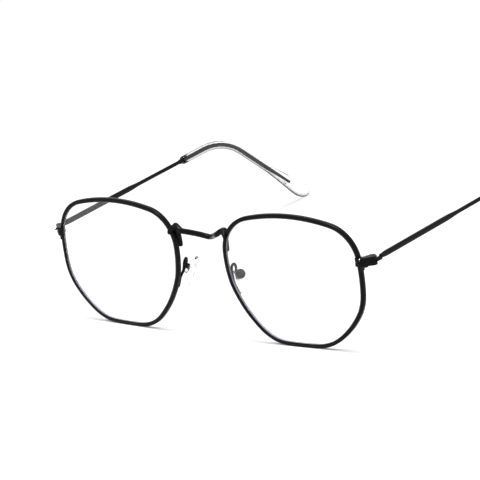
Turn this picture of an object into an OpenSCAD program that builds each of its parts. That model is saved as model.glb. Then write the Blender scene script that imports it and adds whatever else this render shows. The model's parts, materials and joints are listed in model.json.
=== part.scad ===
// Thin wire spectacles with rounded six-sided rims, clear lenses, a waved bridge,
// rocking nose pads and folding temples with clear tips, standing open on a table.
// Millimetres. +X is the wearer's left, +Y runs back along the temples, +Z is up.
// The origin is on the table, under the middle of the open frame.

/* [Rim outline, from the lens centre to the wire's centreline] */
// Outer top corner, sideways
top_out_x = 23.2; // [21:0.1:26]
// Inner top corner, sideways
top_in_x = 24.9; // [23:0.1:27]
// Height of the outer top corner
top_out_z = 13.2; // [11:0.1:16]
// Height of the inner top corner
top_in_z = 13.7; // [11:0.1:16]
// Outer side corner, sideways
side_out_x = 24.2; // [22:0.1:27]
// Drop of the outer side corner
side_out_z = 9.7; // [7:0.1:12]
// Inner side corner, sideways
side_in_x = 25.4; // [23:0.1:27]
// Drop of the inner side corner
side_in_z = 6; // [4:0.1:9]
// Outer bottom corner, sideways
base_out_x = 9.3; // [7:0.1:12]
// Inner bottom corner, sideways
base_in_x = 10.9; // [8:0.1:13]
// Drop of the bottom corners
base_z = 24.3; // [21:0.05:27]
// Rounding of the two top corners
top_round = 12.4; // [9:0.1:14]
// Rounding of the outer side corner
side_out_round = 16; // [10:0.5:18]
// Rounding of the inner side corner
side_in_round = 10.2; // [8:0.1:14]
// Rounding of the outer bottom corner
base_out_round = 16; // [10:0.5:17]
// Rounding of the inner bottom corner
base_in_round = 14.9; // [10:0.1:17]
// Bow radius of the top bar
top_bow = 72; // [60:1:120]
// Bow radius of the upright outer side
side_out_bow = 58; // [45:1:100]
// Bow radius of the short inner side
side_in_bow = 35; // [28:1:60]
// Bow radius of the inner slanting side
slant_in_bow = 37; // [30:1:80]
// Bow radius of the outer slanting side
slant_out_bow = 31; // [26:1:60]
// Bow radius of the bottom bar
base_bow = 131; // [90:1:200]

/* [Rims and lenses] */
// Distance between the two lens centres
lens_pitch = 73.2; // [70:0.1:80]
// Angle of each lens plane to the face
wrap = 2.7; // [0:0.1:5]
// Wire width of the rim, seen from the front
rim_w = 1.25; // [1.1:0.05:1.6]
// Depth of the rim, front to back
rim_d = 1.5; // [1.4:0.05:2]
// Set-back of the rims behind the lens centres
rim_back = 0.3; // [0:0.05:0.6]
// Bevel on the rim's edges
rim_edge = 0.2; // [0.1:0.05:0.3]
// Width of the lens groove at its mouth
groove_w = 0.8; // [0.6:0.05:0.9]
// Depth of the lens groove
groove_d = 0.45; // [0.3:0.05:0.6]
// Thickness of a lens
lens_t = 1.3; // [1.1:0.05:1.6]
// Clearance between a lens and its groove
lens_gap = 0.05; // [0.03:0.01:0.1]
// Saw cut where the rim opens to take the lens
split_w = 0.16; // [0.1:0.02:0.3]

/* [Bridge] */
// Diameter of the bridge wire
bridge_d = 1.9; // [1.6:0.05:2.1]
// Diameter of the tail that runs down beside each rim, at its end
tail_d = 1.8; // [1.7:0.05:1.85]
// Set-back of the tail's end from the lens centres
tail_back = 0.65; // [0.5:0.05:1]
// Height of the bridge's middle above the lens centres
bridge_z = 6.8; // [6:0.1:8]
// Set-back of the bridge's middle from the lens centres
bridge_back = 4; // [3:0.1:4.4]
// Height of the two crests above the lens centres
crest_z = 11.15; // [10.5:0.05:12]
// Distance of each crest from the middle
crest_x = 10.1; // [9.8:0.05:10.3]
// Height of the tail's end above the lens centres
tail_z = 4; // [3:0.1:5]

/* [Nose pads] */
// Diameter of the pad arm wire
arm_d = 0.95; // [0.8:0.05:1.1]
// Height of the soldered foot's lower end, below the lens centres
foot_low = 10; // [8.5:0.1:11]
// Distance of the pad pivot from the middle
pad_x = 11.1; // [10.7:0.1:11.4]
// Set-back of the pad pivot from the lens centres
pad_y = 3.7; // [3.5:0.1:4.4]
// Drop of the pad pivot below the lens centres
pad_drop = 4.6; // [4.2:0.1:5.2]
// Turn of the pads towards the face
pad_turn = 30; // [20:1:40]
// Lean of the pads in towards the brow
pad_lean = 22; // [16:1:24]
// Tilt of the pads' tops back towards the face
pad_tip = 10; // [4:1:12]
// Length of a pad
pad_l = 11; // [10:0.5:13]
// Width of a pad
pad_w = 5.8; // [5:0.2:7]
// Thickness of a pad
pad_t = 2.4; // [2:0.1:3]
// Diameter of the pad box
box_d = 3.2; // [3:0.1:3.8]
// Diameter of the pad screw
pad_screw_d = 0.8; // [0.7:0.05:0.9]

/* [Endpieces and hinges] */
// Height of the hinge's middle above the lens centres
hinge_z = 4.7; // [4:0.05:6.2]
// Distance of the hinge axis out from the rim's centreline
hinge_out = 2.8; // [2.7:0.05:3.2]
// Distance of the hinge axis back from the lens centres
hinge_y = 4.6; // [4.4:0.05:5]
// Height of the two endpiece halves together
endpiece_h = 2.8; // [2.7:0.1:3.6]
// Width of the endpiece outside the hinge axis
endpiece_out = 1.9; // [1.8:0.05:2.1]
// Reach of the endpiece in front of the rim's middle
endpiece_fore = 1.35; // [1.1:0.05:1.5]
// Diameter of the hinge screw
hinge_screw_d = 1.1; // [0.9:0.05:1.2]
// Diameter of the rim-closing screw
closing_screw_d = 1; // [0.8:0.05:1.1]
// Diameter of the round-headed rivet's head
rivet_d = 0.85; // [0.7:0.05:1]
// Height of the temple's tongue
tongue_h = 1.1; // [0.9:0.05:1.3]
// Radial clearance of the tongue on its screw
hinge_play = 0.04; // [0.02:0.01:0.08]
// Clearance above and below the tongue
tongue_play = 0.05; // [0.03:0.01:0.1]

/* [Temples] */
// Outward offset of the temple from the hinge axis
temple_offset = 1.45; // [1.35:0.05:1.6]
// Height of the flat blade
blade_h = 1.8; // [1.4:0.05:2.2]
// Thickness of the flat blade
blade_t = 1.1; // [0.9:0.05:1.2]
// Length from the hinge to the blade's end
blade_l = 43; // [35:1:52]
// Diameter of the round wire
wire_d = 1.35; // [1.1:0.05:1.5]
// Length from the hinge to the corner of the ear bend
bend_l = 91.4; // [87:0.2:98]
// Height of the bar's middle above the hinge's middle
bar_up = 0.35; // [0:0.05:0.4]
// Radius of the ear bend
bend_r = 33; // [25:1:38]
// Rise of the temple towards the ear
rise = 2.6; // [0:0.1:4]
// Slope of the part behind the ear
drop = 37.5; // [33:0.5:45]
// Outward spread of each temple
spread = 1.4; // [0:0.1:3]
// Length of wire left out of the tip, from the hinge
tip_start = 67.4; // [62:0.2:74]
// Height of the clear tip at its front end
tip_h = 2.9; // [2.6:0.1:3.4]
// Thickness of the clear tip
tip_t = 2.6; // [2.3:0.1:3]
// Height of the tip's paddle
paddle_h = 6.4; // [5:0.1:7]
// Length over which the paddle widens
paddle_l = 30; // [22:1:34]
// Solid length of the tip beyond the wire's end
tip_solid = 13.5; // [9:0.5:16]
// Diameter of the wire inside the tip
core_d = 0.9; // [0.7:0.05:1.1]
// Clearance of the wire in the tip
core_gap = 0.03; // [0.02:0.01:0.05]

/* [Hidden] */

black_wire = [0.03, 0.03, 0.035];
black_screw = [0.1, 0.1, 0.11];
steel = [0.55, 0.56, 0.58];
clear = [0.9, 0.94, 0.95, 0.35];

joint_gap = 0.02;      // braze line between soldered pieces
overlap = 0.3;         // reach of one shape into another that it is joined to
arc_step = 6;          // degrees from one point of a rounded corner to the next
bow_step = 1.8;        // millimetres from one point of a bowed side to the next

// Circle that touches two bowed sides from inside, at the corner that they would make
function norm2(p) = sqrt(p.x * p.x + p.y * p.y);
function meet(c1, r1, c2, r2, near) =
    let (d = c2 - c1, l = norm2(d), a = (r1 * r1 - r2 * r2 + l * l) / (2 * l),
         h = sqrt(max(r1 * r1 - a * a, 0)), m = c1 + d * a / l, n = [-d.y, d.x] * h / l)
    norm2(m + n - near) < norm2(m - n - near) ? m + n : m - n;

// Six corners, going round counter-clockwise from the outer side corner
corners = [
    [side_out_x, -side_out_z], [top_out_x, top_out_z], [-top_in_x, top_in_z],
    [-side_in_x, -side_in_z], [-base_in_x, -base_z], [base_out_x, -base_z]
];
rounds = [side_out_round, top_round, top_round, side_in_round, base_in_round, base_out_round];
bows = [side_out_bow, top_bow, side_in_bow, slant_in_bow, base_bow, slant_out_bow];
sides = len(corners);
bow_mid = [
    for (i = [0:sides - 1])
    let (a = corners[i], b = corners[(i + 1) % sides], d = b - a, l = norm2(d))
    (a + b) / 2 + [-d.y, d.x] / l * sqrt(bows[i] * bows[i] - l * l / 4)
];
round_mid = [
    for (i = [0:sides - 1])
    let (j = (i + sides - 1) % sides)
    meet(bow_mid[j], bows[j] - rounds[i], bow_mid[i], bows[i] - rounds[i], corners[i])
];
function heading(v) = atan2(v.y, v.x);
function sweep_to(a, b) = a + ((b - a) % 360 + 360) % 360;
// Each outline point is [x, z, x of the outward normal, z of the outward normal]
function arc_run(mid, r, a, b, n) = [
    for (k = [0:n - 1])
    let (t = a + (b - a) * k / n)
    [mid.x + r * cos(t), mid.y + r * sin(t), cos(t), sin(t)]
];
outline = [
    for (i = [0:sides - 1])
    let (j = (i + sides - 1) % sides, k = (i + 1) % sides,
         a = heading(round_mid[i] - bow_mid[j]), b = sweep_to(a, heading(round_mid[i] - bow_mid[i])),
         c = sweep_to(b, heading(round_mid[k] - bow_mid[i])))
    each concat(
        arc_run(round_mid[i], rounds[i], a, b, max(2, ceil((b - a) / arc_step))),
        arc_run(bow_mid[i], bows[i], b, c, max(1, ceil((c - b) * PI / 180 * bows[i] / bow_step))))
];
function outer_x(z) = lookup(z, [for (p = outline) if (p.x > 0) [p.y, p.x]]);
function inner_x(z) = lookup(z, [for (p = outline) if (p.x < 0) [p.y, p.x]]);

lens_z = rim_w / 2 - min([for (p = outline) p.y]);     // lens centres above the table
axis_z = lens_z + hinge_z;

// Sideways, backward and upward place of a point of the left lens plane
function in_plane(u, w, v) = [
    lens_pitch / 2 + u * cos(wrap) - w * sin(wrap), u * sin(wrap) + w * cos(wrap), lens_z + v
];
rim_x = in_plane(outer_x(hinge_z), rim_back, 0).x;
rim_mid_y = in_plane(outer_x(hinge_z), rim_back, 0).y;
hinge_x = rim_x + hinge_out;

// Rings of points, each going right-handed about the way ahead, joined into a closed skin
module skin(rings, loop = false, flat = false) {
    n = len(rings);
    m = len(rings[0]);
    pts = [for (r = rings) each r];
    walls = [
        for (i = [0:n - (loop ? 1 : 2)], j = [0:m - 1])
        let (a = i * m + j, b = i * m + (j + 1) % m, c = ((i + 1) % n) * m, d = c + (j + 1) % m)
        each flat ? [[a, c + j, d, b]] : [[a, d, b], [a, c + j, d]]
    ];
    ends = loop ? [] : [[for (j = [0:m - 1]) j], [for (j = [m - 1:-1:0]) (n - 1) * m + j]];
    polyhedron(pts, concat(walls, ends), convexity = 10);
}

function unit(v) = v / norm(v);
function mix(a, b, t) = a + (b - a) * t;
function ease(t) = let (c = min(max(t, 0), 1)) c * c * (3 - 2 * c);
// Curve through a few points, with n steps to each span
function bend_point(p, i, t) =
    let (last = len(p) - 1, a = p[max(i - 1, 0)], b = p[i], c = p[i + 1], d = p[min(i + 2, last)])
    0.5 * (2 * b + (c - a) * t + (2 * a - 5 * b + 4 * c - d) * t * t + (3 * b - a - 3 * c + d) * t * t * t);
function curve(p, n) = concat(
    [for (i = [0:len(p) - 2], k = [0:n - 1]) bend_point(p, i, k / n)], [p[len(p) - 1]]);
// Round sections along a route; each point of the route is [x, y, z, diameter]
function xyz(p) = [p[0], p[1], p[2]];
function tube_rings(route, side_dir, m) = [
    for (i = [0:len(route) - 1])
    let (a = xyz(route[max(i - 1, 0)]), b = xyz(route[min(i + 1, len(route) - 1)]),
         t = unit(b - a), e = unit(side_dir - t * (side_dir * t)), f = cross(t, e), r = route[i][3] / 2)
    [for (j = [0:m - 1]) xyz(route[i]) + r * (cos(360 * j / m) * e + sin(360 * j / m) * f)]
];

module for_side(s) {
    if (s > 0) children();
    else mirror([1, 0, 0]) children();
}

/* Rim and lens */

// Section of the rim as [out from the wire's centreline, back]
function rim_section(grow) =
    let (w = rim_w / 2 + grow, d = rim_d / 2 + grow, e = rim_edge)
    [[w - e, -d], [w, e - d], [w, d - e], [w - e, d], [e - w, d], [-w, d - e], [-w, e - d], [e - w, -d]];
groove_section = [
    [-rim_w, -groove_w / 2 - groove_d], [groove_d - rim_w / 2, 0], [-rim_w, groove_w / 2 + groove_d]
];
function round_rings(section) = [
    for (p = outline)
    [for (q = section) in_plane(p.x + p[2] * q.x, rim_back + q.y, p.y + p[3] * q.x)]
];

// A stretch of the rim between two heights on its inner side, to fit other pieces to
module rim_stretch(low, high, grow) {
    rings = round_rings(rim_section(grow));
    picked = [for (i = [0:len(outline) - 1]) if (outline[i].x < 0 && outline[i].y > low && outline[i].y < high) i];
    skin([for (i = picked) rings[i]], flat = true);
}

// The rim is one loop, sawn through between the endpiece halves
module rim(s) color(black_wire) at_home() for_side(s) {
    difference() {
        skin(round_rings(grooved_section), loop = true, flat = true);
        translate([rim_x - rim_w, rim_mid_y - rim_d, axis_z - split_w / 2])
            cube([2 * rim_w, 2 * rim_d, split_w]);
    }
}
grooved_section = let (w = rim_w / 2, d = rim_d / 2, e = rim_edge, g = groove_w / 2) [
    [w - e, -d], [w, e - d], [w, d - e], [w - e, d], [e - w, d],
    [-w, d - e], [-w, g], [groove_d - w, 0], [-w, -g], [-w, e - d], [e - w, -d]
];

lens_edge = -rim_w / 2 - lens_gap;                     // face outline, from the wire's centreline
bevel_tip = groove_d - rim_w / 2 - lens_gap;
module lens(s) color(clear) at_home() for_side(s)
    translate(in_plane(0, rim_back, 0)) rotate([0, 0, wrap]) skin([
        for (q = [[lens_edge, lens_t / 2], [lens_edge, bevel_half], [bevel_tip, 0],
                  [lens_edge, -bevel_half], [lens_edge, -lens_t / 2]])
        [for (p = outline) [p.x + p[2] * q.x, q.y, p.y + p[3] * q.x]]
    ], flat = true);
bevel_half = groove_w / 2 - lens_gap;

/* Bridge: low in the middle, over a crest at each rim, with a foot in front and a tail down the side */

behind_rim = rim_back + rim_d / 2 + joint_gap;
function nasal(v, w) = in_plane(inner_x(v), w, v);     // point behind the rim's inner side
function up_to(t) = lens_z + mix(bridge_z, crest_z, t);
half_bridge = [
    [0, bridge_back, up_to(0), bridge_d],
    [crest_x * 0.31, bridge_back * 0.68, up_to(0.23), bridge_d],
    [crest_x * 0.56, bridge_back * 0.14, up_to(0.5), bridge_d],
    [crest_x * 0.72, -0.7, up_to(0.66), bridge_d],
    [crest_x * 0.87, -0.55, up_to(0.87), bridge_d * 1.05],
    [crest_x, -0.1, up_to(0.95), bridge_d * 1.15],
    [crest_x + 0.5, -0.1, up_to(0.89), bridge_d * 0.75]
];
foot_w = -0.75;         // the foot lies on the rim's front face
foot_in = 0.1;          // and that far towards the lens
foot_route = [
    [crest_x - 0.35, -0.25, up_to(0.96), bridge_d * 0.9],
    [crest_x + 0.3, -0.95, up_to(0.88), bridge_d * 0.98],
    concat(nasal(crest_z - 1.8, foot_w) + [foot_in, 0, 0], [bridge_d * 0.74]),
    concat(nasal(crest_z - 2.5, foot_w) + [foot_in, 0, 0], [bridge_d * 0.5])
];
tail_route = [
    [crest_x - 0.2, -0.15, up_to(0.92), tail_d * 0.7],
    [crest_x, 0.15, up_to(0.82), tail_d * 1.1],
    [crest_x - 0.05, tail_back * 0.6, lens_z + mix(crest_z, tail_z, 0.3), tail_d * 1.1],
    [crest_x - 0.2, tail_back * 0.95, lens_z + mix(crest_z, tail_z, 0.6), tail_d * 1.05],
    [crest_x - 0.3, tail_back, lens_z + tail_z + 0.3, tail_d],
    [crest_x - 0.3, tail_back, lens_z + tail_z, tail_d * 0.5]
];
function flip(p) = [-p[0], p[1], p[2], p[3]];
bridge_points = concat(
    [for (i = [len(half_bridge) - 1:-1:1]) flip(half_bridge[i])], half_bridge);
module bridge() color(black_wire) at_home() difference() {
    union() {
        skin(tube_rings(curve(bridge_points, 4), [0.1, 1, 0], 12));
        for (s = [1, -1]) for_side(s) {
            skin(tube_rings(curve(foot_route, 3), [0.17, 1, 0], 12));
            skin(tube_rings(curve(tail_route, 3), [0.1, 1, 0], 10));
        }
    }
    for (s = [1, -1]) for_side(s) rim_stretch(tail_z - 3, crest_z + 2, joint_gap);
}

/* Nose pads; the pad frame has x along the screw, y towards the nose and z up the pad */

pad_at = [pad_x, pad_y, lens_z - pad_drop];
box_half = 1.2;         // pad box, from the pivot to its back
box_front = 0.6;        // and to its open front
slot_t = 1.3;           // slot for the core's tab
tab_t = 1.1;
tab_r = 0.75;
pad_gap = 0.35;         // room for the pad to rock in front of its box
module in_pad()
    translate(pad_at) rotate([-pad_tip, 0, 0]) rotate([0, -pad_lean, 0]) rotate([0, 0, 90 - pad_turn]) children();

module pad_box_body(grow = 0)
    rotate([-90, 0, 0]) translate([0, 0, -box_half - grow])
        cylinder(d = box_d + 2 * grow, h = box_half + box_front + 2 * grow, $fn = 32);
module pad_box(s) color(black_screw) at_home() for_side(s) in_pad() {
    difference() {
        pad_box_body();
        translate([-slot_t / 2, -tab_r - 0.1, -box_d]) cube([slot_t, box_half + box_front, 2 * box_d]);
        rotate([0, 90, 0]) cylinder(d = pad_screw_d, h = 2 * box_d, center = true, $fn = 24);
    }
}
pad_head_h = 0.4;
pad_head_d = pad_screw_d * 1.6;
module pad_screw(s) color(steel) at_home() for_side(s) in_pad() rotate([0, 90, 0]) {
    translate([0, 0, -box_d / 2]) cylinder(d = pad_screw_d - 2 * joint_gap, h = box_d, $fn = 24);
    difference() {
        translate([0, 0, -box_d / 2 - pad_head_h]) cylinder(d = pad_head_d, h = pad_head_h, $fn = 32);
        translate([-pad_head_d, -0.12, -box_d / 2 - pad_head_h - 0.1]) cube([2 * pad_head_d, 0.24, 0.3]);
    }
}
core_l = 3.6;
core_w = 2.2;
core_t = 0.5;
pad_mid = box_front + pad_gap + pad_t / 2;
pad_low = 0.4;          // the pad hangs a little lower than its screw
module core_body(grow = 0) {
    translate([-core_w / 2 - grow, pad_mid - core_t / 2 - grow, -core_l / 2 - grow])
        cube([core_w + 2 * grow, core_t + 2 * grow, core_l + 2 * grow]);
    translate([-tab_t / 2 - grow, 0, -tab_r - grow]) cube([tab_t + 2 * grow, pad_mid, 2 * (tab_r + grow)]);
}
module pad_core(s) color(steel) at_home() for_side(s) in_pad() {
    difference() {
        union() {
            core_body();
            rotate([0, 90, 0]) cylinder(r = tab_r, h = tab_t, center = true, $fn = 32);
        }
        rotate([0, 90, 0])
            cylinder(d = pad_screw_d + 2 * hinge_play, h = 2 * tab_t, center = true, $fn = 24);
    }
}
// Drop-shaped pad, wider below, with its faces drawn in to a soft edge
module nose_pad(s) color(clear) at_home() for_side(s) in_pad() {
    levels = [[-1, 0.72], [-0.75, 0.92], [-0.3, 1], [0.3, 1], [0.75, 0.9], [1, 0.66]];
    difference() {
        skin([
            for (q = levels)
            [for (a = [0:15:345])
                [pad_w / 2 * q[1] * cos(a) * (1 - 0.16 * sin(a)), pad_mid - q[0] * pad_t / 2,
                 pad_l / 2 * q[1] * sin(a) - pad_low]]
        ]);
        core_body(joint_gap);
    }
}
arm_back = behind_rim + arm_d / 2;
arm_route = [
    concat(nasal(-foot_low - 0.15, arm_back), [arm_d * 0.5]),
    concat(nasal(-foot_low, arm_back), [arm_d]),
    concat(nasal(-foot_low * 0.85, arm_back), [arm_d]),
    concat(nasal(-foot_low * 0.65, arm_back + 0.02), [arm_d]),
    [pad_x - 0.75, pad_y - 2.65, lens_z - pad_drop + 0.2, arm_d],
    [pad_x - 1.1, pad_y - 2.2, lens_z - pad_drop + 2.6, arm_d],
    [pad_x - 1.1, pad_y - 1.45, lens_z - pad_drop + 3.6, arm_d],
    [pad_x - 0.95, pad_y - 0.75, lens_z - pad_drop + 3.65, arm_d],
    [pad_x - 0.7, pad_y - 0.5, lens_z - pad_drop + 2.7, arm_d],
    [pad_x - 0.47, pad_y - 0.93, lens_z - pad_drop + 1.17, arm_d]
];
module pad_arm(s) color(black_wire) at_home() for_side(s) difference() {
    skin(tube_rings(curve(arm_route, 4), [1, 0, 0.001], 10));
    in_pad() pad_box_body(joint_gap);
}

/* Endpieces: two halves clamp the sawn rim and make the two ears of the hinge */

function arc_points(c, r, a, b, n) = [for (k = [0:n]) c + r * [cos(mix(a, b, k / n)), sin(mix(a, b, k / n))]];
lug_in = 0.75;          // the endpiece's front laps over the rim's front face
front_y = rim_mid_y - endpiece_fore;
rear_y = rim_mid_y + rim_d / 2;
out_x = hinge_x + endpiece_out;
ear_r = hinge_screw_d / 2 + 0.5;
slant = heading([out_x - 0.2, hinge_y - 1.1] - [rim_x + 1.3, front_y]) - 90;
endpiece_plan = concat(
    [[rim_x - lug_in, front_y]],
    arc_points([rim_x + 0.9, front_y + 0.8], 0.8, -90, slant, 5),
    arc_points([out_x - 0.9, hinge_y - 1], 0.9, slant, 0, 5),
    arc_points([out_x - 0.4, hinge_y - 0.4], 0.4, 0, 80, 4),
    arc_points([hinge_x, hinge_y], ear_r, 70, 190, 10),
    [[rim_x + 0.9, rear_y], [rim_x - lug_in, rear_y]]
);
closing_at = [rim_x + 1.9, rim_mid_y + 0.4];
slot_h = tongue_h + 2 * tongue_play;
tongue_r = ear_r - 0.05;
module endpiece_half(up) {
    low = up > 0 ? axis_z + split_w / 2 : axis_z - endpiece_h / 2;
    difference() {
        union() {
            translate([0, 0, low]) linear_extrude(endpiece_h / 2 - split_w / 2) polygon(endpiece_plan);
            if (up < 0) translate([rim_x, rim_mid_y - rim_d / 2, axis_z - endpiece_h / 2 - foot_drop])
                cube([rim_w / 2 + foot_out, rim_d, foot_drop + overlap]);
        }
        translate([hinge_x - 2 * ear_r, hinge_y - tongue_r - 0.15, axis_z - slot_h / 2])
            cube([2 * ear_r + 2 * endpiece_out, 4 * ear_r, slot_h]);
        translate([hinge_x, hinge_y, low - 1]) cylinder(d = hinge_screw_d, h = endpiece_h, $fn = 32);
        translate([hinge_x, hinge_y, axis_z + endpiece_h / 2 - head_sink])
            cylinder(d = hinge_head_d + 2 * joint_gap, h = endpiece_h, $fn = 32);
        translate([closing_at.x, closing_at.y, low - 1]) cylinder(d = closing_screw_d, h = endpiece_h, $fn = 32);
        if (up > 0) translate([rivet_at.x, front_y - 1, rivet_at.y])
            rotate([-90, 0, 0]) cylinder(d = rivet_pin_d, h = 1 + rivet_pin_l, $fn = 24);
        translate(in_plane(0, 0, 0)) rotate([0, 0, wrap])
            translate([bow_mid[0].x, rim_back - rim_d / 2 - joint_gap, bow_mid[0].y]) rotate([-90, 0, 0])
                cylinder(r = side_out_bow + rim_w / 2 + joint_gap, h = 4 * rim_d, $fn = 360);
    }
}
foot_drop = 1.5;
foot_out = 0.5;
rivet_at = [rim_x + rim_w / 2 + 0.93, axis_z + endpiece_h / 2 - 0.35];
rivet_pin_d = 0.5;
rivet_pin_l = 0.9;
rivet_out = 0.39;
module endpiece_upper(s) color(black_wire) at_home() for_side(s) endpiece_half(1);
module endpiece_lower(s) color(black_wire) at_home() for_side(s) endpiece_half(-1);

module slotted_head(d, h) difference() {
    cylinder(d = d, h = h, $fn = 32);
    translate([-d, -0.11, h - 0.2]) cube([2 * d, 0.22, 1]);
}
hinge_head_d = hinge_screw_d * 1.45;
hinge_head_h = 0.4;
head_sink = 0.35;       // the head sits down in the upper ear
module hinge_screw(s) color(black_screw) at_home() for_side(s) translate([hinge_x, hinge_y, axis_z]) {
    translate([0, 0, -endpiece_h / 2 - 0.15])
        cylinder(d = hinge_screw_d - 2 * joint_gap, h = endpiece_h + 0.15, $fn = 32);
    translate([0, 0, endpiece_h / 2 - head_sink]) slotted_head(hinge_head_d, hinge_head_h);
}
closing_head_d = closing_screw_d * 1.5;
module closing_screw(s) color(black_screw) at_home() for_side(s)
    translate([closing_at.x, closing_at.y, axis_z]) mirror([0, 0, 1]) {
        translate([0, 0, -endpiece_h / 2])
            cylinder(d = closing_screw_d - 2 * joint_gap, h = endpiece_h, $fn = 32);
        translate([0, 0, endpiece_h / 2]) slotted_head(closing_head_d, 0.4);
    }
module rivet(s) color(black_screw) at_home() for_side(s) translate([rivet_at.x, front_y, rivet_at.y]) {
    rotate([-90, 0, 0]) translate([0, 0, -rivet_d / 4])
        cylinder(d = rivet_pin_d - 2 * joint_gap, h = rivet_pin_l + rivet_d / 4, $fn = 24);
    translate([0, -rivet_out, 0]) sphere(d = rivet_d, $fn = 24);
}

/* Temples; their route is [along, up] from the hinge axis, in the temple's own upright plane */

toe_l = 9;              // the paddle's end is cut away below and rounded above
heel_l = 2.2;
end_up = 1.2;
bend_z = bend_l * tan(rise);
bend_tangent = bend_r * tan((rise + drop) / 2);
bend_from = [bend_l - bend_tangent * cos(rise), bend_z - bend_tangent * sin(rise)];
bend_mid = bend_from + bend_r * [sin(rise), -cos(rise)];
// Lowest reach of the tip below the wire's line, for a tip that ends at the bend's corner
tip_low0 = min([for (e = [0:0.25:paddle_l]) e * sin(drop) + tip_under(e) * cos(drop)]);
drop_l = (axis_z + bar_up + bend_z + tip_low0) / sin(drop);
bend_arc = bend_r * (rise + drop) * PI / 180;
straight_l = bend_from.x / cos(rise);
total_l = straight_l + bend_arc + drop_l - bend_tangent;
wire_l = total_l - tip_solid;
// Point of the route at a length from the hinge axis: [along, up, slope]
function temple_at(l) =
    l < straight_l ? [l * cos(rise), l * sin(rise), rise] :
    l < straight_l + bend_arc ?
        let (a = rise - (l - straight_l) / bend_r * 180 / PI)
        [bend_mid.x - bend_r * sin(a), bend_mid.y + bend_r * cos(a), a] :
        let (m = l - straight_l - bend_arc, k = bend_tangent + m)
        [bend_l + k * cos(drop), bend_z - k * sin(drop), -drop];
function bulge(t) = t >= 1 ? 1 : sqrt(max(1 - (1 - t) * (1 - t), 0));
function tip_half(e) = mix(paddle_h, tip_h, ease(e / paddle_l)) / 2;
function tip_under(e) = end_up - (tip_half(e) + end_up) * bulge(e / toe_l);
function tip_over(e) = end_up + (tip_half(e) - end_up) * bulge(e / heel_l);

module in_temple() translate([hinge_x, hinge_y, axis_z]) rotate([0, 0, -spread]) children();
// Ring of an oval section at a length along the temple
function temple_ring(l, low, high, half_t, m, square) =
    let (p = temple_at(l), mid = (low + high) / 2, half = (high - low) / 2)
    [for (j = [0:m - 1])
        let (a = -360 * (j + 0.5) / m, c = cos(a), s = sin(a),
             x = half_t * sign(c) * pow(abs(c), square), z = mid + half * sign(s) * pow(abs(s), square))
        [temple_offset + x, p.x - z * sin(p[2]), bar_up + p.y + z * cos(p[2])]];

neck_l = 2.3;
flare_l = 2.4;
taper_l = 6;
neck_step = 0.08;       // the bar stands a little proud of its tongue
shoulder_l = 0.25;      // the wire steps down to its core just in front of the tip
collar_l = 1.4;         // with a collar before the step
collar_d = wire_d + 0.35;
function bar_half_h(l) =
    l < neck_l + flare_l ? mix(tongue_h / 2 + neck_step, blade_h / 2, ease((l - neck_l) / flare_l)) :
    mix(blade_h, wire_at(l), ease((l - blade_l + taper_l) / taper_l)) / 2;
function bar_half_t(l) = mix(blade_t, wire_at(l), ease((l - blade_l + taper_l) / taper_l)) / 2;
function wire_at(l) = l > tip_start - shoulder_l ? core_d : l < tip_start - collar_l ? wire_d : collar_d;
function bar_square(l) = mix(0.45, 1, ease((l - blade_l + taper_l) / taper_l));
bar_stations = concat(
    [neck_l - overlap, neck_l, neck_l + flare_l / 3, neck_l + flare_l * 2 / 3, neck_l + flare_l],
    [blade_l - taper_l, blade_l - 4, blade_l - 2, blade_l],
    [tip_start - collar_l - shoulder_l / 2, tip_start - collar_l, tip_start - shoulder_l, tip_start - shoulder_l / 2],
    [for (k = [0:8]) straight_l + bend_arc * k / 8], [wire_l]
);
module bar_skin() skin([
    for (l = bar_stations)
    temple_ring(l, -bar_half_h(l), bar_half_h(l), bar_half_t(l), 16, bar_square(l))
]);
neck_in = temple_offset - blade_t / 2 + neck_step;
neck_out = temple_offset + blade_t / 2 - neck_step;
tongue_plan = concat(
    arc_points([0, 0], tongue_r, 80, 300, 16),
    [[neck_out, -0.1], [neck_out, neck_l], [neck_in, neck_l], [neck_in, tongue_r * 0.7]]
);
module temple(s) color(black_wire) at_home() for_side(s) in_temple() {
    bar_skin();
    difference() {
        translate([0, 0, -tongue_h / 2]) linear_extrude(tongue_h) polygon(tongue_plan);
        cylinder(d = hinge_screw_d + 2 * hinge_play, h = 2 * tongue_h, center = true, $fn = 32);
    }
}
tip_stations = concat(
    [tip_start, tip_start + 0.4], [for (k = [1:3]) mix(tip_start, straight_l, k / 3)],
    [for (k = [1:8]) straight_l + bend_arc * k / 8],
    [for (e = [34, 30, 26, 22, 18, 14, 11, 9, 7, 5, 3.6, 2.4, 1.4, 0.7, 0.3, 0.06]) total_l - e]
);
function tip_ring(l) = let (e = total_l - l, lip = l < tip_start + 0.2 ? 0.85 : 1)
    temple_ring(l, tip_under(e) * lip, tip_over(e) * lip, tip_t / 2 * lip * max(bulge(e / heel_l), 0.35), 16, 0.85);
// The channel for the wire runs forward from its closed end, then the outside runs back
bore_stations = [wire_l + core_gap, for (k = [8:-1:0]) straight_l + bend_arc * k / 8, tip_start];
module temple_tip(s) color(clear) at_home() for_side(s) in_temple() skin(concat(
    [for (l = bore_stations)
        temple_ring(l, -core_d / 2 - core_gap, core_d / 2 + core_gap, core_d / 2 + core_gap, 16, 1)],
    [for (l = tip_stations) tip_ring(l)]
));

// Reach of the open frame along Y, for an origin under its middle
tip_points = [
    for (l = tip_stations) each
    [for (q = tip_ring(l)) hinge_y + q.y * cos(spread) - q.x * sin(spread)]
];
front_reach = in_plane(inner_x(0) - rim_w / 2, rim_back - rim_d / 2, 0).y;
mid_y = (max(tip_points) + front_reach) / 2;
module at_home() translate([0, -mid_y, 0]) children();

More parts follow.
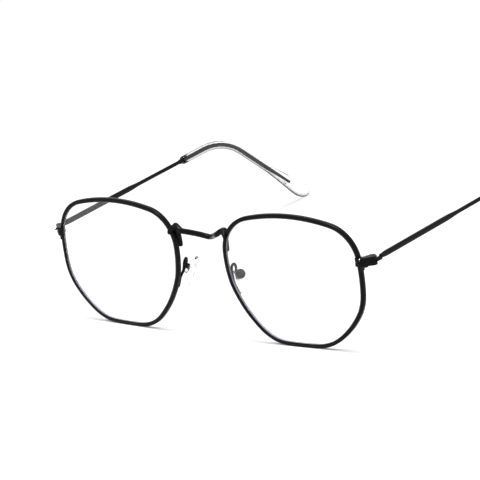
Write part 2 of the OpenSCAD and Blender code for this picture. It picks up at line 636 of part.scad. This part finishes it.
rim(1);  // rim_left
rim(-1);  // rim_right
lens(1);  // lens_left
lens(-1);  // lens_right
bridge();
pad_arm(1);  // pad_arm_left
pad_arm(-1);  // pad_arm_right
pad_box(1);  // pad_box_left
pad_box(-1);  // pad_box_right
pad_screw(1);  // pad_screw_left
pad_screw(-1);  // pad_screw_right
pad_core(1);  // pad_core_left
pad_core(-1);  // pad_core_right
nose_pad(1);  // nose_pad_left
nose_pad(-1);  // nose_pad_right
endpiece_upper(1);  // endpiece_upper_left
endpiece_upper(-1);  // endpiece_upper_right
endpiece_lower(1);  // endpiece_lower_left
endpiece_lower(-1);  // endpiece_lower_right
closing_screw(1);  // closing_screw_left
closing_screw(-1);  // closing_screw_right
hinge_screw(1);  // hinge_screw_left
hinge_screw(-1);  // hinge_screw_right
rivet(1);  // rivet_left
rivet(-1);  // rivet_right
temple(1);  // temple_left
temple(-1);  // temple_right
temple_tip(1);  // temple_tip_left
temple_tip(-1);  // temple_tip_right
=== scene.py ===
import json
import math

import bpy
from mathutils import Matrix, Vector

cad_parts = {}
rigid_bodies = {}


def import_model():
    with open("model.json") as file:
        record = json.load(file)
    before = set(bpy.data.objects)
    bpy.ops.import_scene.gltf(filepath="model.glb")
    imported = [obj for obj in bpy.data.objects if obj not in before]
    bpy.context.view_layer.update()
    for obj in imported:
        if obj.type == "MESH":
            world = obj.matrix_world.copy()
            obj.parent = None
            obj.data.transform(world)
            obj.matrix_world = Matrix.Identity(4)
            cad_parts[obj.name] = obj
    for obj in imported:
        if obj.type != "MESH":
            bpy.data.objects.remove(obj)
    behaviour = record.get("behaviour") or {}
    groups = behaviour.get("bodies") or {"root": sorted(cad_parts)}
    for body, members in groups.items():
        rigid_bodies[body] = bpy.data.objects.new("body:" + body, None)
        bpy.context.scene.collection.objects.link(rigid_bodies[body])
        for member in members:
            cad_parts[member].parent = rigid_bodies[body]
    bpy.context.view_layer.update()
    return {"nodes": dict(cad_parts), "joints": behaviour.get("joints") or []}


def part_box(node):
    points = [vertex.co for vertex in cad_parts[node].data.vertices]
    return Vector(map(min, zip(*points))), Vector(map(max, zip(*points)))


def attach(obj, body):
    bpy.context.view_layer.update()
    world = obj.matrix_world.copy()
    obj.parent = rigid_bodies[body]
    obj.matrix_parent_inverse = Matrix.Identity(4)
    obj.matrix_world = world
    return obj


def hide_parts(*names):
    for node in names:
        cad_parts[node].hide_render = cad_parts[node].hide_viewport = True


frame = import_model()
print("frame loaded,", len(frame["nodes"]), "nodes")

mm = 0.001      # pieces are sized in millimetres with this; the camera, floor and lamps are in metres

# Camera: long lens, from the wearer's left and a little above
cameraView = {
    "focal": 219.35, "sensor": 36.0,
    "place": (0.59041, -0.74073, 0.29126),
    "turn": 40.583, "down": 16.268, "roll": -7.706,
    "near": 0.01, "far": 20.0,
}
bpy.ops.object.camera_add()
camera = bpy.context.object
camera.data.lens = cameraView["focal"]
camera.data.sensor_width = cameraView["sensor"]
camera.data.clip_start = cameraView["near"]
camera.data.clip_end = cameraView["far"]
camera.matrix_world = (
    Matrix.Translation(cameraView["place"])
    @ Matrix.Rotation(math.radians(cameraView["turn"]), 4, "Z")
    @ Matrix.Rotation(math.radians(90 - cameraView["down"]), 4, "X")
    @ Matrix.Rotation(math.radians(cameraView["roll"]), 4, "Z")
)
bpy.context.scene.camera = camera
bpy.context.scene.view_settings.view_transform = "Standard"
print("camera placed")


# A socket that can be added and multiplied like a number
class Field:
    def __init__(self, tree, socket):
        self.tree = tree
        self.socket = socket

    def math(self, kind, first, second=0.0, clamp=False):
        node = self.tree.nodes.new("ShaderNodeMath")
        node.operation = kind
        node.use_clamp = clamp
        for slot, value in zip(node.inputs, (first, second)):
            plug(self.tree, slot, value)
        return Field(self.tree, node.outputs[0])

    def __add__(self, other):
        return self.math("ADD", self, other)

    __radd__ = __add__

    def __sub__(self, other):
        return self.math("SUBTRACT", self, other)

    def __rsub__(self, other):
        return self.math("SUBTRACT", other, self)

    def __mul__(self, other):
        return self.math("MULTIPLY", self, other)

    __rmul__ = __mul__

    def clamped(self):
        return self.math("ADD", self, 0.0, clamp=True)


def plug(tree, slot, value):
    if isinstance(value, Field):
        tree.links.new(value.socket, slot)
    else:
        slot.default_value = value


# A material under construction
class Finish:
    def __init__(self, name):
        self.material = bpy.data.materials.new(name)
        self.material.use_nodes = True
        self.tree = self.material.node_tree
        self.tree.nodes.clear()
        self.output = self.tree.nodes.new("ShaderNodeOutputMaterial")

    def node(self, kind, settings=None, sockets=None, out=0):
        made = self.tree.nodes.new(kind)
        for key, value in (settings or {}).items():
            if key == "stops":
                for element, (place, shade) in zip(made.color_ramp.elements, value):
                    element.position = place
                    element.color = shade
            else:
                setattr(made, key, value)
        for key, value in (sockets or {}).items():
            plug(self.tree, made.inputs[key], value)
        return Field(self.tree, made.outputs[out])

    def noise(self, scale, detail=2.0, stretch=(1, 1, 1)):
        place = self.node("ShaderNodeTexCoord", out="Object")
        place = self.node("ShaderNodeMapping", None, {"Vector": place, "Scale": stretch})
        return self.node("ShaderNodeTexNoise", None, {"Vector": place, "Scale": scale, "Detail": detail})

    def ramp(self, value, low, high):
        stops = ((low, (0, 0, 0, 1)), (high, (1, 1, 1, 1)))
        return self.node("ShaderNodeValToRGB", {"stops": stops}, {"Fac": value})

    def blend(self, mask, first, second):
        return self.node("ShaderNodeMix", {"data_type": "RGBA"}, {0: mask, 6: first, 7: second}, out=2)

    # The depth is in millimetres
    def bump(self, height, strength, depth):
        return self.node("ShaderNodeBump", None, {
            "Height": height, "Strength": strength, "Distance": depth * mm})

    def solid(self, sockets):
        return self.show(self.node("ShaderNodeBsdfPrincipled", None, sockets))

    # Clear stuff lets the lamps' light straight through, so that it casts no hard shadow
    def glass(self, sockets, shadow):
        body = self.node("ShaderNodeBsdfPrincipled", None, {"Transmission Weight": 1.0, **sockets})
        through = self.node("ShaderNodeBsdfTransparent", None, {"Color": shadow})
        path = self.node("ShaderNodeLightPath", out="Is Shadow Ray")
        return self.show(self.node("ShaderNodeMixShader", None, {0: path, 1: body, 2: through}))

    def show(self, shader):
        self.tree.links.new(shader.socket, self.output.inputs["Surface"])
        return self.material


def grey(value):
    return (value, value, value, 1)


# In the looks below a noise is a scale, a detail and at times a stretch, a span is the two ends of
# a ramp, and a bump is a strength and a depth
noiseMiddle = 0.5       # the noise varies about this value

# Satin black lacquer on the wires: slightly uneven, with a fine orange peel and rubbed specks
lacquerLook = {
    "deep": (0.001, 0.001, 0.0012, 1), "thin": (0.003, 0.003, 0.0033, 1), "cloud": (240.0, 3.0),
    "rubbed": (0.03, 0.029, 0.027, 1), "speck": (1500.0, 4.0), "speckSpan": (0.7, 0.76), "speckShare": 0.35,
    "rough": 0.29, "uneven": 0.18, "speckRough": 0.1, "gloss": 0.1,
    "peel": (2300.0, 1.0), "bump": (0.25, 0.02),
}
finish = Finish("blackLacquer")
cloud = finish.noise(*lacquerLook["cloud"])
peel = finish.noise(*lacquerLook["peel"])
speck = finish.ramp(finish.noise(*lacquerLook["speck"]), *lacquerLook["speckSpan"])
coat = finish.blend(cloud, lacquerLook["deep"], lacquerLook["thin"])
blackLacquer = finish.solid({
    "Base Color": finish.blend(speck * lacquerLook["speckShare"], coat, lacquerLook["rubbed"]),
    "Roughness": (lacquerLook["rough"] + (cloud - noiseMiddle) * lacquerLook["uneven"]
                  + speck * lacquerLook["speckRough"]),
    "Specular IOR Level": lacquerLook["gloss"],
    "Normal": finish.bump(peel, *lacquerLook["bump"]),
})

# Blackened steel of the screws and boxes
screwLook = {
    "dark": (0.008, 0.008, 0.009, 1), "bare": (0.05, 0.05, 0.052, 1), "cloud": (700.0, 3.0),
    "bareSpan": (0.45, 0.75), "rough": 0.3, "uneven": 0.25, "metal": 0.7,
    "turned": (400.0, 2.0, (1, 1, 9)), "bump": (0.2, 0.01),
}
finish = Finish("blackSteel")
cloud = finish.noise(*screwLook["cloud"])
turned = finish.noise(*screwLook["turned"])
blackSteel = finish.solid({
    "Base Color": finish.blend(finish.ramp(cloud, *screwLook["bareSpan"]),
                               screwLook["dark"], screwLook["bare"]),
    "Roughness": screwLook["rough"] + (turned - noiseMiddle) * screwLook["uneven"],
    "Metallic": screwLook["metal"],
    "Normal": finish.bump(turned, *screwLook["bump"]),
})

# Bright steel of the pad screws and the tabs in the pads
steelLook = {
    "dull": (0.8, 0.8, 0.8, 1), "bright": (0.93, 0.93, 0.93, 1), "cloud": (900.0, 3.0),
    "rough": 0.18, "uneven": 0.3, "brushed": (600.0, 2.0, (1, 1, 12)), "bump": (0.15, 0.01),
}
finish = Finish("brightSteel")
cloud = finish.noise(*steelLook["cloud"])
brushed = finish.noise(*steelLook["brushed"])
brightSteel = finish.solid({
    "Base Color": finish.blend(cloud, steelLook["dull"], steelLook["bright"]),
    "Roughness": steelLook["rough"] + (brushed - noiseMiddle) * steelLook["uneven"],
    "Metallic": 1.0,
    "Normal": finish.bump(brushed, *steelLook["bump"]),
})

# Blackened rivets with a painted glint: the side of each ball that faces up and to the front is painted
# bright steel
paintedGlintLook = {"way": (0, -0.64, 0.77), "brightSpan": (0.86, 0.94), "cloud": (1200.0, 2.0), "uneven": 0.2}
finish = Finish("rivetSteel")
cloud = finish.noise(*paintedGlintLook["cloud"])
paintedGlintMask = finish.node("ShaderNodeVectorMath", {"operation": "DOT_PRODUCT"}, {
    0: finish.node("ShaderNodeTexCoord", out="Normal"), 1: paintedGlintLook["way"]}, out="Value")
# Base Color carries the painted glint, bright where the ball's surface faces up and to the front
rivetSteel = finish.solid({
    "Base Color": finish.blend(finish.ramp(paintedGlintMask, *paintedGlintLook["brightSpan"]),
                               screwLook["dark"], steelLook["bright"]),
    "Roughness": screwLook["rough"] + (cloud - noiseMiddle) * paintedGlintLook["uneven"],
    "Metallic": 1.0,
})

# Lens: polished faces with a trace of smear, and a matt ground edge with a lilac cast
glassLook = {"tint": (0.992, 0.994, 0.994, 1), "smear": (45.0, 3.0), "smearSpan": (0.5, 0.9),
             "rough": 0.008, "ior": 1.38, "shadow": 0.995}
finish = Finish("clearLens")
smear = finish.noise(*glassLook["smear"])
clearLens = finish.glass({
    "Base Color": glassLook["tint"],
    "Roughness": finish.ramp(smear, *glassLook["smearSpan"]) * glassLook["rough"],
    "IOR": glassLook["ior"],
}, grey(glassLook["shadow"]))
edgeLook = {"pale": (0.3, 0.29, 0.36, 1), "dusty": (0.15, 0.15, 0.19, 1), "grain": (2500.0, 3.0),
            "dustSpan": (0.35, 0.7), "rough": 0.62, "uneven": 0.2, "bump": (0.4, 0.02)}
finish = Finish("groundEdge")
grain = finish.noise(*edgeLook["grain"])
groundEdge = finish.solid({
    "Base Color": finish.blend(finish.ramp(grain, *edgeLook["dustSpan"]),
                               edgeLook["pale"], edgeLook["dusty"]),
    "Roughness": edgeLook["rough"] + (grain - noiseMiddle) * edgeLook["uneven"],
    "Normal": finish.bump(grain, *edgeLook["bump"]),
})

# Clear cellulose of the temple tips. Painted shade: the colour goes dark where the tip turns away from the
# viewer, most of all underneath, and on the paddle's sole. The length is the paddle's end along y, in
# metres.
tipLook = {
    "clear": (0.965, 0.968, 0.972, 1), "dark": (0.02, 0.02, 0.025, 1), "awaySpan": (0.2, 0.65),
    "side": 0.45, "rise": 0.75, "length": 0.0718, "paddleSpan": (0.66, 0.88), "soleSpan": (0.3, 0.8),
    "haze": (110.0, 3.0), "hazeSpan": (0.45, 0.85), "rough": 0.03, "bump": (0.08, 0.05),
    "ior": 1.47, "shadow": 0.75,
}
finish = Finish("clearTip")
haze = finish.noise(*tipLook["haze"])
paintedOutlineShade = finish.ramp(finish.node("ShaderNodeLayerWeight", None, {"Blend": 0.5}, out="Facing"),
                   *tipLook["awaySpan"])
upward = finish.node("ShaderNodeSeparateXYZ", None,
                     {"Vector": finish.node("ShaderNodeTexCoord", out="Normal")}, out="Z")
paintedUnderShade = (tipLook["side"] - upward * tipLook["rise"]).clamped()
along = finish.node("ShaderNodeSeparateXYZ", None,
                    {"Vector": finish.node("ShaderNodeTexCoord", out="Object")}, out="Y")
paddle = finish.ramp(along * (1 / tipLook["length"]), *tipLook["paddleSpan"])
paintedSoleShade = finish.ramp(upward * -1, *tipLook["soleSpan"]) * paddle
# Base Color holds painted shade along the tip's outline, on its underside and on the paddle's sole
clearTip = finish.glass({
    "Base Color": finish.blend((paintedOutlineShade * paintedUnderShade + paintedSoleShade).clamped(), tipLook["clear"], tipLook["dark"]),
    "Roughness": finish.ramp(haze, *tipLook["hazeSpan"]) * tipLook["rough"],
    "IOR": tipLook["ior"],
    "Normal": finish.bump(haze, *tipLook["bump"]),
}, grey(tipLook["shadow"]))

# Softer clear plastic of the nose pads
siliconeLook = {
    "tint": (0.985, 0.987, 0.985, 1), "haze": (260.0, 3.0), "hazeSpan": (0.4, 0.8),
    "rough": 0.01, "uneven": 0.06, "bump": (0.1, 0.04), "ior": 1.3, "shadow": 0.93,
}
finish = Finish("clearPad")
haze = finish.noise(*siliconeLook["haze"])
clearPad = finish.glass({
    "Base Color": siliconeLook["tint"],
    "Roughness": (finish.ramp(haze, *siliconeLook["hazeSpan"]) * siliconeLook["uneven"]
                  + siliconeLook["rough"]),
    "IOR": siliconeLook["ior"],
    "Normal": finish.bump(haze, *siliconeLook["bump"]),
}, grey(siliconeLook["shadow"]))
print("finishes mixed")


def grab(piece):
    if bpy.context.object and bpy.context.object.mode != "OBJECT":
        bpy.ops.object.mode_set(mode="OBJECT")
    bpy.ops.object.select_all(action="DESELECT")
    if piece:
        piece.select_set(True)
        bpy.context.view_layer.objects.active = piece


# Leaves the piece in edit mode with only those faces or corners selected that pass the test
def pick(piece, kind, test):
    grab(piece)
    bpy.ops.object.mode_set(mode="EDIT")
    bpy.ops.mesh.select_mode(type=kind)
    bpy.ops.mesh.select_all(action="DESELECT")
    bpy.ops.object.mode_set(mode="OBJECT")
    for part in piece.data.polygons if kind == "FACE" else piece.data.vertices:
        part.select = test(part)
    bpy.ops.object.mode_set(mode="EDIT")


def doneEditing():
    bpy.ops.object.mode_set(mode="OBJECT")


mergeCloser = 0.002     # corners nearer than this are one


# A CAD node's mesh comes as loose triangles, so its copy is merged and its flat faces made whole
def copyNode(node, name, flat=0.5):
    grab(None)
    piece = bpy.data.objects.new(name, frame["nodes"][node].data.copy())
    piece.data.name = name
    bpy.context.scene.collection.objects.link(piece)
    grab(piece)
    piece.data.materials.clear()
    bpy.ops.mesh.customdata_custom_splitnormals_clear()
    bpy.ops.object.mode_set(mode="EDIT")
    bpy.ops.mesh.select_all(action="SELECT")
    bpy.ops.mesh.remove_doubles(threshold=mergeCloser * mm)
    bpy.ops.mesh.dissolve_limited(angle_limit=math.radians(flat))
    doneEditing()
    return piece


def finishWith(piece, modifiers):
    grab(piece)
    for kind, settings in modifiers:
        modifier = piece.modifiers.new(kind.lower(), kind)
        for key, value in settings.items():
            setattr(modifier, key, value)
        bpy.ops.object.modifier_apply(modifier=modifier.name)


def softEdge(width, angle, segments=2):
    return ("BEVEL", {"width": width * mm, "segments": segments, "limit_method": "ANGLE",
                      "angle_limit": math.radians(angle), "harden_normals": False})


def subdivided(levels):
    return ("SUBSURF", {"levels": levels, "render_levels": levels})


def smoothShade(piece, angle):
    grab(piece)
    bpy.ops.object.shade_smooth_by_angle(angle=math.radians(angle))


def putInPlace(piece, place):
    grab(piece)
    piece.matrix_world = place
    bpy.ops.object.transform_apply(location=True, rotation=True, scale=True)


# The right-hand piece is the left one's mirror image, with a mesh of its own
def mirrorImage(piece):
    grab(piece)
    bpy.ops.object.duplicate()
    twin = bpy.context.object
    twin.name = piece.name.replace("left", "right")
    twin.data.name = twin.name
    twin.scale.x = -1
    bpy.ops.object.transform_apply(location=True, rotation=True, scale=True)
    bpy.ops.object.mode_set(mode="EDIT")
    bpy.ops.mesh.select_all(action="SELECT")
    bpy.ops.mesh.normals_make_consistent(inside=False)
    doneEditing()
    return twin


def settle(piece, body, slot, node, *materials):
    for material in materials:
        piece.data.materials.append(material)
    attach(piece, body)
    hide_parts(node)


# Settles the left piece and its mirror image; a body named front carries both
def settlePair(piece, body, slot, node, *materials):
    for made, side in ((mirrorImage(piece), "right"), (piece, "left")):
        settle(made, body if body == "front" else body + "_" + side, slot, node + "_" + side, *materials)


# Rims: drawn wire with rounded corners, shaded as round all over but for the saw cut
rimLook = {"edge": 0.06, "corner": 28, "round": 70}
piece = copyNode("rim_left", "rimWire.left")
finishWith(piece, [softEdge(rimLook["edge"], rimLook["corner"], 1)])
smoothShade(piece, rimLook["round"])
settlePair(piece, "front", "black_metal", "rim", blackLacquer)
print("rims made")

# Lenses: flat polished faces, with a small ground chamfer round each and a ground bevel in the groove
lensLook = {"chamfer": 0.12, "corner": 50, "polished": 0.97}    # how squarely a polished face looks along y
piece = copyNode("lens_left", "lensGlass.left")
finishWith(piece, [softEdge(lensLook["chamfer"], lensLook["corner"], 1)])
grab(piece)
bpy.ops.object.shade_flat()
for face in piece.data.polygons:
    face.material_index = 0 if abs(face.normal.y) > lensLook["polished"] else 1
settlePair(piece, "front", "clear_lens", "lens", clearLens, groundEdge)
print("lenses made")

# Bridge and pad arms: wires whose brazed joints run together, so they are remeshed and smoothed
brazeLook = {"bridgeGrain": 0.09, "armGrain": 0.08, "factor": 0.5, "passes": 4}
for node, name, grain in (
    ("bridge", "bridgeWire", "bridgeGrain"),
    ("pad_arm_left", "padArm.left", "armGrain"),
):
    piece = copyNode(node, name)
    finishWith(piece, [
        ("REMESH", {"mode": "VOXEL", "voxel_size": brazeLook[grain] * mm}),
        ("SMOOTH", {"factor": brazeLook["factor"], "iterations": brazeLook["passes"]}),
    ])
    grab(piece)
    bpy.ops.object.shade_smooth()
    if node == "bridge":
        settle(piece, "front", "black_metal", node, blackLacquer)
    else:
        settlePair(piece, "front", "black_metal", "pad_arm", blackLacquer)
print("bridge and pad arms made")

# Endpieces and small metal parts, with their edges broken: edge, segments, name, finish and slot
brokenEdge = {"corner": 35, "round": 40}
metalLook = {
    "endpiece_upper": (0.16, 3, "endpieceUpper", blackLacquer, "black_metal"),
    "endpiece_lower": (0.16, 3, "endpieceLower", blackLacquer, "black_metal"),
    "pad_box": (0.1, 2, "padBox", blackSteel, "dark_screw"),
    "pad_screw": (0.05, 2, "padScrew", brightSteel, "steel"),
    "closing_screw": (0.06, 2, "closingScrew", blackSteel, "dark_screw"),
    "hinge_screw": (0.06, 2, "hingeScrew", blackSteel, "dark_screw"),
}
for node, (edge, segments, name, material, slot) in metalLook.items():
    piece = copyNode(node + "_left", name + ".left")
    finishWith(piece, [softEdge(edge, brokenEdge["corner"], segments)])
    smoothShade(piece, brokenEdge["round"])
    settlePair(piece, "front", slot, node, material)
piece = copyNode("rivet_left", "rivet.left")
smoothShade(piece, brokenEdge["round"])
settlePair(piece, "front", "dark_screw", "rivet", rivetSteel)
print("endpieces and screws made")

# Temples: flat bar with a hinge tongue, running into round wire
templeLook = {"edge": 0.1, "corner": 45, "round": 50}
piece = copyNode("temple_left", "templeBar.left")
finishWith(piece, [softEdge(templeLook["edge"], templeLook["corner"])])
smoothShade(piece, templeLook["round"])
settlePair(piece, "temple", "black_metal", "temple", blackLacquer)
print("temples made")

# Temple tips: the sleeve is shrunk onto the wire, so the skin of its channel is left out
mouthLook = {"reach": 0.2, "channel": 0.7, "facing": 0.9, "flat": 0.01, "round": 50}
piece = copyNode("temple_tip_left", "templeTip.left", mouthLook["flat"])
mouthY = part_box("temple_tip_left")[0][1] + mouthLook["reach"] * mm
pick(piece, "FACE", lambda face: face.center.y < mouthY and face.normal.y < -mouthLook["facing"])
bpy.ops.mesh.delete(type="FACE")
doneEditing()
ring = [corner.co for corner in piece.data.vertices if corner.co.y < mouthY]
middle = sum(ring, Vector()) / len(ring)
pick(piece, "VERT", lambda corner: (corner.co - middle).length < mouthLook["channel"] * mm)
bpy.ops.mesh.select_linked()
bpy.ops.mesh.delete(type="VERT")
bpy.ops.mesh.select_non_manifold()
bpy.ops.mesh.edge_face_add()
bpy.ops.mesh.select_all(action="SELECT")
bpy.ops.mesh.normals_make_consistent(inside=False)
doneEditing()
smoothShade(piece, mouthLook["round"])
settlePair(piece, "temple", "clear_tip", "temple_tip", clearTip)
print("temple tips made")

# Nose pads, in a frame with x along the screw, y towards the nose and z up the pad.
# Each level is a share of the half thickness and of the half width there.
jointPlaces = {joint["name"]: joint["pos_m"] for joint in frame["joints"]}
padLook = {
    "half": (2.9, 1.2, 5.5), "middle": 2.15, "down": 0.4, "taper": -0.32,
    "levels": ((-1, 0.5), (-0.9, 0.72), (-0.55, 0.93), (0, 1), (0.55, 0.93), (0.9, 0.74), (1, 0.55)),
    "pivot": jointPlaces["nose_pad_left_rock"], "tip": 10, "lean": 22, "turn": 30,
    "sides": 32, "subdivided": 2,
}
padPlace = (
    Matrix.Translation(padLook["pivot"])
    @ Matrix.Rotation(math.radians(-padLook["tip"]), 4, "X")
    @ Matrix.Rotation(math.radians(-padLook["lean"]), 4, "Y")
    @ Matrix.Rotation(math.radians(90 - padLook["turn"]), 4, "Z")
)
halfX, halfY, halfZ = [half * mm for half in padLook["half"]]
depth, wide = padLook["levels"][0]
grab(None)
bpy.ops.mesh.primitive_circle_add(vertices=padLook["sides"], radius=halfX * wide, fill_type="NGON",
                                  location=(0, depth * halfY, 0), rotation=(math.radians(90), 0, 0))
piece = bpy.context.object
piece.name = "nosePad.left"
bpy.ops.object.transform_apply(location=True, rotation=True, scale=True)
bpy.ops.object.mode_set(mode="EDIT")
bpy.ops.mesh.select_all(action="SELECT")
bpy.ops.transform.resize(value=(1, 1, halfZ / halfX), center_override=(0, 0, 0))
for nextDepth, nextWide in padLook["levels"][1:]:
    bpy.ops.mesh.extrude_region_move(
        TRANSFORM_OT_translate={"value": (0, (nextDepth - depth) * halfY, 0)})
    bpy.ops.transform.resize(value=(nextWide / wide, 1, nextWide / wide), center_override=(0, 0, 0))
    depth, wide = nextDepth, nextWide
bpy.ops.mesh.select_all(action="SELECT")
bpy.ops.mesh.normals_make_consistent(inside=False)
doneEditing()
finishWith(piece, [
    ("SIMPLE_DEFORM", {"deform_method": "TAPER", "factor": padLook["taper"],
                       "deform_axis": "Z", "lock_y": True}),
    subdivided(padLook["subdivided"]),
])
putInPlace(piece, padPlace @ Matrix.Translation((0, padLook["middle"] * mm, -padLook["down"] * mm)))
grab(piece)
bpy.ops.object.shade_smooth()
settlePair(piece, "nose_pad", "clear_pad", "nose_pad", clearPad)
coreLook = {"edge": 0.07}
piece = copyNode("pad_core_left", "padCore.left")
finishWith(piece, [softEdge(coreLook["edge"], brokenEdge["corner"])])
smoothShade(piece, brokenEdge["round"])
settlePair(piece, "nose_pad", "steel", "pad_core", brightSteel)
print("nose pads made")


# One where the camera looks at it, straight or in a gloss or through glass, and nought for other light
def lookedAt(tree):
    path = tree.nodes.new("ShaderNodeLightPath")
    rays = ("Is Camera Ray", "Is Glossy Ray", "Is Transmission Ray")
    return sum((Field(tree, path.outputs[ray]) for ray in rays), 0.0).clamped()


# Floor of white paper, with a glow that shows only where it is looked at
floorLook = {"size": 1.2, "shade": 0.8, "mottle": 0.015, "fibre": (30.0, 3.0), "glow": 0.14}
finish = Finish("whitePaper")
seen = lookedAt(finish.tree)
fibre = finish.noise(*floorLook["fibre"])
matt = finish.node("ShaderNodeBsdfDiffuse", None, {
    "Color": finish.blend(fibre, grey(floorLook["shade"] - floorLook["mottle"]),
                          grey(floorLook["shade"]))})
glow = finish.node("ShaderNodeEmission", None, {"Color": grey(1), "Strength": seen * floorLook["glow"]})
whitePaper = finish.show(finish.node("ShaderNodeAddShader", None, {0: matt, 1: glow}))
grab(None)
bpy.ops.mesh.primitive_plane_add(size=floorLook["size"])
floor = bpy.context.object
floor.name = "floor"
floor.data.materials.append(whitePaper)

# Studio: an even white room that the camera sees as pure white, and two soft lamps
studioLook = {"seen": 1.0, "light": 0.3}
world = bpy.data.worlds.new("studio")
bpy.context.scene.world = world
world.use_nodes = True
backdrop = world.node_tree.nodes["Background"]
seen = lookedAt(world.node_tree)
plug(world.node_tree, backdrop.inputs["Strength"],
     seen * (studioLook["seen"] - studioLook["light"]) + studioLook["light"])
backdrop.inputs["Color"].default_value = grey(1)
lamps = {
    "overhead": {"place": (0.03, -0.1, 1.7), "size": 0.7, "power": 23.0},
    "front": {"place": (-0.12, -0.72, 1.1), "size": 0.25, "power": 7.0},
}
for name, lamp in lamps.items():
    bpy.ops.object.light_add(type="AREA", location=lamp["place"])
    light = bpy.context.object
    light.name = name
    light.data.size = lamp["size"]
    light.data.energy = lamp["power"]
    light.rotation_euler = (-Vector(lamp["place"])).to_track_quat("-Z", "Y").to_euler()
print("floor and light ready")
